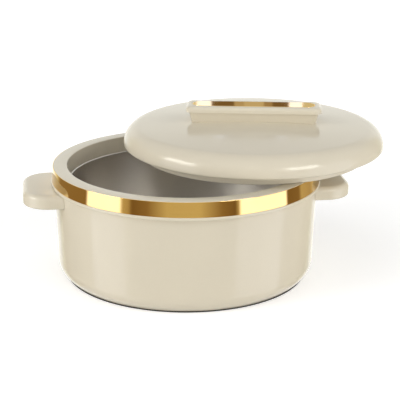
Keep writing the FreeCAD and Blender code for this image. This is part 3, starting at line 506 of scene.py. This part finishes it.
def makeBand(values):
    flare = (values["bottomRadius"] - values["topRadius"]) / (values["top"] - values["bottom"])
    flat = values["flatFrom"]
    bm = lathe(
        (values["bottomRadius"] - values["thick"], values["bottom"]),
        [
            (values["bottomRadius"], values["bottom"], values["bottomRound"]),
            (values["bottomRadius"] - flare * flat, values["bottom"] + flat),
            (values["topRadius"] + flare * flat, values["top"] - flat),
            (values["topRadius"], values["top"], values["topRound"]),
            (values["topRadius"] - values["thick"], values["top"]),
        ],
        steps=256,
        segments=4,
    )
    finishPiece("goldBand", bm, "gold_trim", "pot", ["gold_band"])


makeBand(band)

# Spun steel bowl, hanging by its flange under the collar
bowl = {
    "floor": 0.014, "floorRadius": 0.098, "mouth": 0.105, "top": 0.08735, "wall": 0.0007,
    "flange": 0.113, "corner": 0.016, "lipRound": 0.0012,
}


def makeBowl(values):
    wall = values["wall"]
    bm = lathe(
        (0.0, values["floor"]),
        [
            (values["floorRadius"] + wall, values["floor"], values["corner"] + wall),
            (values["mouth"] + wall, values["top"] - wall),
            (values["flange"], values["top"] - wall),
            (values["flange"], values["top"]),
            (values["mouth"], values["top"], values["lipRound"]),
            (values["floorRadius"], values["floor"] + wall, values["corner"]),
            (0.0, values["floor"] + wall),
        ],
        closed=False,
        segments=12,
    )
    finishPiece("steelBowl", bm, "bowl_steel", "pot", ["steel_bowl"])


makeBowl(bowl)

# Side lug: a hollow block with rounded corners, run into the wall
lug = {
    "reach": 0.1472, "halfWidth": 0.0402, "corner": 0.0236, "top": 0.0853, "height": 0.0122,
    "topRound": 0.005, "footRound": 0.002, "wall": 0.003, "root": 0.108, "rootPoints": 15,
    "hollowDepth": 0.0092, "hollowBack": 0.1221, "gap": 0.00015,
}


def makeLug(name, side, values, standsFor):
    bm = bmesh.new()
    foot = values["top"] - values["height"]
    plan = [(values["reach"], -values["halfWidth"]), (values["reach"], values["halfWidth"])]
    for step in range(values["rootPoints"]):
        share = 1 - 2 * step / (values["rootPoints"] - 1)
        plan.append((values["root"], values["halfWidth"] * share))
    face = bm.faces.new([bm.verts.new((x, y, foot)) for x, y in plan])
    corners = [vert for vert in face.verts if vert.co.x > values["reach"] - near]
    roundOff(bm, corners, values["corner"], 18, "VERTICES")
    raised = bmesh.ops.extrude_face_region(bm, geom=bm.faces[:])
    top = [item for item in raised["geom"] if isinstance(item, bmesh.types.BMVert)]
    bmesh.ops.translate(bm, verts=top, vec=(0, 0, values["height"]))

    def ringEdges(height):
        return [edge for edge in bm.edges
                if all(abs(vert.co.z - height) < near for vert in edge.verts)
                and not all(vert.co.x < values["root"] + near for vert in edge.verts)]

    roundOff(bm, ringEdges(values["top"]), values["topRound"], 8)
    roundOff(bm, ringEdges(foot), values["footRound"], 5)
    for vert in bm.verts:
        if vert.co.x < values["root"] + near:
            reach = wallRadiusAt(vert.co.z) + values["gap"]
            vert.co.x = math.sqrt(reach * reach - vert.co.y * vert.co.y)
    bmesh.ops.recalc_face_normals(bm, faces=bm.faces[:])
    under = [item for item in bm.faces
             if item.normal.z < -0.99 and abs(item.calc_center_median().z - foot) < near]
    bmesh.ops.inset_region(bm, faces=under, thickness=values["wall"] - values["footRound"],
                           use_even_offset=True)
    for vert in {vert for item in under for vert in item.verts}:
        vert.co.x = max(vert.co.x, values["hollowBack"])
    sunk = bmesh.ops.extrude_face_region(bm, geom=under)
    deep = [item for item in sunk["geom"] if isinstance(item, bmesh.types.BMVert)]
    bmesh.ops.translate(bm, verts=deep, vec=(0, 0, values["hollowDepth"]))
    bmesh.ops.delete(bm, geom=under, context="FACES_ONLY")
    if side < 0:
        bmesh.ops.rotate(bm, verts=bm.verts[:], cent=(0, 0, 0),
                         matrix=Matrix.Rotation(math.pi, 3, "Z"))
    finishPiece(name, bm, "cream_plastic", "pot", standsFor)


makeLug("lugRight", 1, lug, ["handle_right"])
makeLug("lugLeft", -1, lug, ["handle_left"])

# Lid: it lies level on the rim, pushed to one side and turned a little
lidRest = {"place": (0.06618, 0.0258, 0.1017), "turn": -10}
lidPlace = (Matrix.Translation(lidRest["place"])
            @ Matrix.Rotation(math.radians(lidRest["turn"]), 4, "Z"))
lidDome = {
    "radius": 0.12, "wall": 0.0024, "crown": 0.0322, "shoulder": 0.0165, "edge": 0.0085,
    "shoulderHeight": 0.01085, "edgeRound": 0.002,
}


def domeShape(values):
    # where the shoulder's arc is centred, the crown's radius, and the angle at which they meet
    middle = values["radius"] - values["shoulder"]
    rise = values["crown"] - values["shoulderHeight"]
    crownRadius = (middle ** 2 + rise ** 2 - values["shoulder"] ** 2) / (2 * (rise - values["shoulder"]))
    return middle, crownRadius, math.asin(middle / (crownRadius - values["shoulder"]))


def makeLidDome(values):
    middle, crownRadius, lean = domeShape(values)
    inside = values["radius"] - values["wall"]
    centre = values["crown"] - crownRadius
    turn = math.pi / 2 - lean
    bm = lathe(
        (0.0, values["crown"]),
        [
            {"about": (0.0, centre), "angle": lean, "steps": 26},
            {"about": (middle, values["shoulderHeight"]), "angle": turn, "steps": 22},
            (values["radius"], values["edge"], values["edgeRound"]),
            (inside, values["edge"]),
            (inside, values["shoulderHeight"]),
            {"about": (middle, values["shoulderHeight"]), "angle": -turn, "steps": 12},
            {"about": (0.0, centre), "angle": -lean, "steps": 12},
        ],
        closed=False,
    )
    bm.transform(lidPlace)
    finishPiece("lidDome", bm, "cream_plastic", "lid", ["lid_shell"])


makeLidDome(lidDome)

# Lid underside: a flat-bottomed plug with a flange
lidPlug = {
    "radius": 0.105, "height": 0.00865, "flange": 0.11745, "wall": 0.0018, "edgeRound": 0.0012,
    "holeRadius": 0.01115, "stemRadius": 0.00805, "sink": 0.00105,
}


def makeLidPlug(values):
    bm = lathe(
        (values["holeRadius"], 0.0),
        [
            (values["radius"], 0.0, values["edgeRound"]),
            (values["radius"], values["height"]),
            (values["flange"], values["height"]),
            (values["flange"], values["height"] + values["wall"]),
            (values["radius"] - values["wall"], values["height"] + values["wall"]),
            (values["radius"] - values["wall"], values["wall"]),
            (values["stemRadius"], values["wall"]),
            (values["stemRadius"], values["sink"]),
            (values["holeRadius"], values["sink"]),
        ],
        segments=6,
    )
    bm.transform(lidPlace)
    finishPiece("lidPlug", bm, "cream_plastic", "lid", ["lid_liner"])


makeLidPlug(lidPlug)

# Lid handle: a block that widens to an overhanging lip, with a plate let into its top
grip = {
    "top": 0.0458, "lipHeight": 0.0053, "halfLength": 0.062, "halfWidth": 0.0155, "corner": 0.008,
    "neckAlong": 0.0026, "neckAcross": 0.001, "footAlong": 0.0052, "footAcross": 0.0029,
    "foot": 0.0302, "sink": 0.0004, "topRound": 0.0032,
    "recessLength": 0.05665, "recessWidth": 0.00975, "recessDepth": 0.00085,
}
plate = {
    "halfLength": 0.0565, "halfWidth": 0.0096, "thick": 0.001, "proud": 0.00015,
    "edgeRound": 0.0003,
}


def roundedFace(bm, halfLength, halfWidth, corner, height, segments=10):
    made = bmesh.ops.create_grid(bm, x_segments=1, y_segments=1, size=1.0)
    bmesh.ops.scale(bm, verts=made["verts"], vec=(halfLength, halfWidth, 1))
    bmesh.ops.translate(bm, verts=made["verts"], vec=(0, 0, height))
    roundOff(bm, made["verts"], corner, segments, "VERTICES")
    return bm.faces[:]


def stadiumFace(bm, halfLength, halfWidth, height):
    # round ends, with a very short straight left between their two corners
    return roundedFace(bm, halfLength, halfWidth, halfWidth - 0.00005, height, 16)


def raiseFaces(bm, faces, height, scale=(1, 1)):
    grown = bmesh.ops.extrude_face_region(bm, geom=faces)
    verts = [item for item in grown["geom"] if isinstance(item, bmesh.types.BMVert)]
    bmesh.ops.translate(bm, verts=verts, vec=(0, 0, height))
    bmesh.ops.scale(bm, verts=verts, vec=(scale[0], scale[1], 1))
    bmesh.ops.delete(bm, geom=faces, context="FACES_ONLY")
    return [item for item in grown["geom"] if isinstance(item, bmesh.types.BMFace)]


def facesAt(bm, height):
    return [face for face in bm.faces
            if all(abs(vert.co.z - height) < near for vert in face.verts)]


def makeGrip(values):
    crownRadius = domeShape(lidDome)[1]
    lipBottom = values["top"] - values["lipHeight"]
    footLength = values["halfLength"] - values["footAlong"]
    footWidth = values["halfWidth"] - values["footAcross"]
    neckLength = values["halfLength"] - values["neckAlong"]
    neckWidth = values["halfWidth"] - values["neckAcross"]
    bm = bmesh.new()
    faces = roundedFace(bm, footLength, footWidth, values["corner"] - values["neckAlong"],
                        values["foot"])
    footVerts = bm.verts[:]
    top = raiseFaces(bm, faces, lipBottom - values["foot"],
                     (neckLength / footLength, neckWidth / footWidth))
    top = raiseFaces(bm, top, 0.0,
                     (values["halfLength"] / neckLength, values["halfWidth"] / neckWidth))
    top = raiseFaces(bm, top, values["lipHeight"])
    rimEdges = list({edge for face in top for edge in face.edges})
    roundOff(bm, rimEdges, values["topRound"], 6)
    flat = facesAt(bm, values["top"])
    brim = list({edge for face in flat for edge in face.edges if len(edge.link_faces) == 2
                 and any(link not in flat for link in edge.link_faces)})
    bmesh.ops.delete(bm, geom=flat, context="FACES_ONLY")
    stadiumFace(bm, values["recessLength"], values["recessWidth"], values["top"])
    top = facesAt(bm, values["top"])
    bmesh.ops.bridge_loops(bm, edges=brim + list({edge for face in top for edge in face.edges}))
    raiseFaces(bm, top, -values["recessDepth"])
    for vert in footVerts:
        reach = math.hypot(vert.co.x, vert.co.y)
        onDome = lidDome["crown"] - crownRadius + math.sqrt(crownRadius ** 2 - reach ** 2)
        vert.co.z = onDome - values["sink"]
    bm.transform(lidPlace)
    finishPiece("lidGrip", bm, "cream_plastic", "lid", ["lid_handle"])


makeGrip(grip)


def makePlate(values):
    top = grip["top"] + values["proud"]
    bm = bmesh.new()
    bottom = top - values["thick"]
    faces = stadiumFace(bm, values["halfLength"], values["halfWidth"], bottom)
    upper = raiseFaces(bm, faces, values["thick"])
    bm.faces.new([vert for vert in bm.verts if abs(vert.co.z - bottom) < near])
    edges = list({edge for face in upper for edge in face.edges})
    roundOff(bm, edges, values["edgeRound"], 4)
    bmesh.ops.inset_region(bm, faces=facesAt(bm, top), thickness=values["edgeRound"],
                           use_even_offset=True)
    bm.transform(lidPlace)
    finishPiece("gripPlate", bm, "gold_trim", "lid", ["lid_handle_inlay"])


makePlate(plate)

# Studio: a pale floor, soft lamps, and a ring of light and dark panels that only reflections see
studio = {
    "floorColour": (0.80, 0.80, 0.80), "floorSize": 6.0, "floorRoughness": 0.6,
    "floorGlow": 0.40, "farGlow": 0.9, "glowFrom": 0.3, "glowTo": 1.1, "worldStrength": 0.36,
    "lampAim": (0.02, 0, 0.06),
    "lamps": {
        "leftLamp": {"place": (-1.5, -0.5, 0.7), "size": (0.7, 1.3), "power": 13.0},
        "rightLamp": {"place": (1.5, -0.7, 0.7), "size": (0.7, 1.3), "power": 14.0},
        "topLamp": {"place": (-0.5, -0.2, 1.7), "size": (1.6, 1.3), "power": 5.0},
        "frontLamp": {"place": (-0.15, -1.9, 0.25), "size": (1.6, 0.6), "power": 9.0},
    },
}
# each light of the ring is an angle in degrees and a strength
panels = {
    "radius": 2.2, "bottom": -1.7, "top": 1.7, "turn": 97.7, "fadeFrom": 0.7, "fadeTo": 1.5,
    "above": 0.8, "scale": 4.0,
    "lights": [
        (-180, 1.3), (-150, 1.3), (-138, 0.75), (-130, 0.32), (-88, 0.3), (-85.5, 2.0),
        (-54, 2.0), (-51.5, 0.6), (-46, 0.5), (-43, 0.22), (-30, 0.3), (-14, 0.66),
        (12, 0.66), (30, 0.3), (41, 0.22), (44, 0.6), (46, 2.0), (90, 2.0), (92.5, 0.25),
        (108, 0.28), (112, 0.6), (128, 0.5), (140, 0.75), (150, 1.3), (180, 1.3),
    ],
}
# upright strips in front of the ring: two softboxes for the glints (first and last angle, bottom,
# top, strength), and the stripes in the handle's plate (first and last angle, strength)
cards = {
    "radius": 2.1, "stripeBottom": 0.45, "stripeTop": 0.95,
    "softboxes": [(-88, -56, 0.85, 1.6, 14.0), (30, 60, 0.85, 1.6, 14.0)],
    "stripes": [
        (180.8, 179.95, 0.75), (179.95, 178.9, 1.6), (178.9, 177.3, 0.2), (177.3, 176.6, 0.5),
        (176.6, 175.2, 0.6), (175.2, 174.6, 0.38), (174.6, 173.45, 0.2), (173.45, 172.5, 1.6),
        (172.5, 171.4, 0.7),
    ],
}


def makeFloor(values):
    bm = bmesh.new()
    bmesh.ops.create_grid(bm, x_segments=1, y_segments=1, size=values["floorSize"] / 2)
    floor = newObject("floor", bm)
    material = bpy.data.materials.new("paleFloor")
    material.use_nodes = True
    tree = material.node_tree
    shader = tree.nodes["Principled BSDF"]
    shader.inputs["Base Color"].default_value = (*values["floorColour"], 1)
    shader.inputs["Roughness"].default_value = values["floorRoughness"]
    shader.inputs["Emission Color"].default_value = (1, 1, 1, 1)
    # the camera and reflections see it glow, more so further away
    rays = addNode(tree, "ShaderNodeLightPath")
    seen = calculate(tree, "MAXIMUM", rays.outputs["Is Camera Ray"], rays.outputs["Is Glossy Ray"])
    place = addNode(tree, "ShaderNodeTexCoord")
    reach = addNode(tree, "ShaderNodeVectorMath", operation="LENGTH")
    tree.links.new(place.outputs["Object"], reach.inputs[0])
    share = mapRange(tree, reach.outputs["Value"], (values["glowFrom"], values["glowTo"]),
                     (values["floorGlow"], values["farGlow"]), interpolation_type="SMOOTHSTEP")
    glow = calculate(tree, "MULTIPLY", seen, share)
    tree.links.new(glow, shader.inputs["Emission Strength"])
    floor.data.materials.append(material)
    floor.visible_glossy = False


def hideFromAllButReflections(item):
    item.visible_camera = False
    item.visible_diffuse = False
    item.visible_transmission = False
    item.visible_shadow = False
    item.visible_volume_scatter = False


def panelColour(strength):
    # dim panels are warm and bright ones cool; the ramp holds up to 1, so what is shown is divided
    green = min(1.0, 0.5 + 0.56 * strength)
    blue = min(1.12, 0.1 + 0.65 * strength)
    scale = panels["scale"]
    return (strength / scale, strength * green / scale, strength * blue / scale, 1)


def glowMaterial(name):
    material = bpy.data.materials.new(name)
    material.use_nodes = True
    tree = material.node_tree
    tree.nodes.clear()
    glow = addNode(tree, "ShaderNodeEmission")
    out = addNode(tree, "ShaderNodeOutputMaterial")
    tree.links.new(glow.outputs[0], out.inputs["Surface"])
    return material, tree, glow


def makePanels(values):
    bm = bmesh.new()
    low = bm.verts.new((values["radius"], 0, values["bottom"]))
    high = bm.verts.new((values["radius"], 0, values["top"]))
    edge = bm.edges.new((low, high))
    bmesh.ops.spin(bm, geom=[low, high, edge], cent=(0, 0, 0), axis=(0, 0, 1),
                   angle=2 * math.pi, steps=64, use_merge=True)
    ring = newObject("studioPanels", bm)
    material, tree, glow = glowMaterial("studioPanels")
    link = tree.links.new
    place = addNode(tree, "ShaderNodeTexCoord")
    turn = addNode(tree, "ShaderNodeMapping", {"Rotation": (0, 0, math.radians(values["turn"]))})
    link(place.outputs["Object"], turn.inputs["Vector"])
    around = addNode(tree, "ShaderNodeTexGradient", gradient_type="RADIAL")
    link(turn.outputs["Vector"], around.inputs["Vector"])
    ramp = addNode(tree, "ShaderNodeValToRGB")
    stops = ramp.color_ramp.elements
    while len(stops) < len(values["lights"]):
        stops.new(0.5)
    for stop, (angle, strength) in zip(stops, values["lights"]):
        stop.position = angle / 360 + 0.5
        stop.color = panelColour(strength)
    link(around.outputs["Fac"], ramp.inputs["Fac"])
    split = addNode(tree, "ShaderNodeSeparateXYZ")
    link(place.outputs["Object"], split.inputs[0])
    fade = mapRange(tree, split.outputs["Z"], (values["fadeFrom"], values["fadeTo"]), (0.0, 1.0),
                    interpolation_type="SMOOTHSTEP")
    above = addNode(tree, "ShaderNodeMix", data_type="RGBA")
    above.inputs[7].default_value = (values["above"] / values["scale"],) * 3 + (1,)
    link(fade, above.inputs["Factor"])
    link(ramp.outputs["Color"], above.inputs[6])
    link(above.outputs[2], glow.inputs["Color"])
    glow.inputs["Strength"].default_value = values["scale"]
    ring.data.materials.append(material)
    hideFromAllButReflections(ring)


def makeCards(values):
    strips = [(first, last, bottom, top, (glow, glow, 0.95 * glow, 1))
              for first, last, bottom, top, glow in values["softboxes"]]
    for first, last, glow in values["stripes"]:
        colour = [panels["scale"] * channel for channel in panelColour(glow)]
        strips.append((first, last, values["stripeBottom"], values["stripeTop"], colour))
    bm = bmesh.new()
    layer = bm.loops.layers.float_color.new("glow")
    for first, last, bottom, top, colour in strips:
        older = set(bm.faces)
        start = math.radians(first - panels["turn"])
        reach = (values["radius"] * math.cos(start), values["radius"] * math.sin(start))
        low = bm.verts.new((*reach, bottom))
        high = bm.verts.new((*reach, top))
        edge = bm.edges.new((low, high))
        bmesh.ops.spin(bm, geom=[low, high, edge], cent=(0, 0, 0), axis=(0, 0, 1),
                       angle=math.radians(last - first), steps=8)
        for face in set(bm.faces) - older:
            for loop in face.loops:
                loop[layer] = colour
    item = newObject("studioCards", bm)
    material, tree, glow = glowMaterial("studioCards")
    shade = addNode(tree, "ShaderNodeAttribute", attribute_name="glow")
    tree.links.new(shade.outputs["Color"], glow.inputs["Color"])
    item.data.materials.append(material)
    hideFromAllButReflections(item)


def makeWorld(values):
    world = bpy.data.worlds.new("studioWorld")
    bpy.context.scene.world = world
    world.use_nodes = True
    tree = world.node_tree
    background = tree.nodes["Background"]
    background.inputs["Color"].default_value = (1, 1, 1, 1)
    # white to the camera, to reflections and through glass, and dimmer as a light
    rays = addNode(tree, "ShaderNodeLightPath")
    seen = calculate(tree, "MAXIMUM", rays.outputs["Is Camera Ray"], rays.outputs["Is Glossy Ray"])
    seen = calculate(tree, "MAXIMUM", seen, rays.outputs["Is Transmission Ray"])
    strength = mapRange(tree, seen, (0.0, 1.0), (values["worldStrength"], 1.0))
    tree.links.new(strength, background.inputs["Strength"])


def makeLamp(name, values):
    data = bpy.data.lights.new(name, "AREA")
    data.shape = "RECTANGLE"
    data.size, data.size_y = values["size"]
    data.energy = values["power"]
    lamp = bpy.data.objects.new(name, data)
    bpy.context.scene.collection.objects.link(lamp)
    lamp.location = values["place"]
    aim = Vector(studio["lampAim"]) - Vector(values["place"])
    lamp.rotation_mode = "QUATERNION"
    lamp.rotation_quaternion = aim.to_track_quat("-Z", "Y")
    lamp.visible_glossy = False


makeFloor(studio)
makePanels(panels)
makeCards(cards)
makeWorld(studio)
for lampName, lampValues in studio["lamps"].items():
    makeLamp(lampName, lampValues)
bpy.context.scene.view_settings.view_transform = "Standard"
print("studio made")
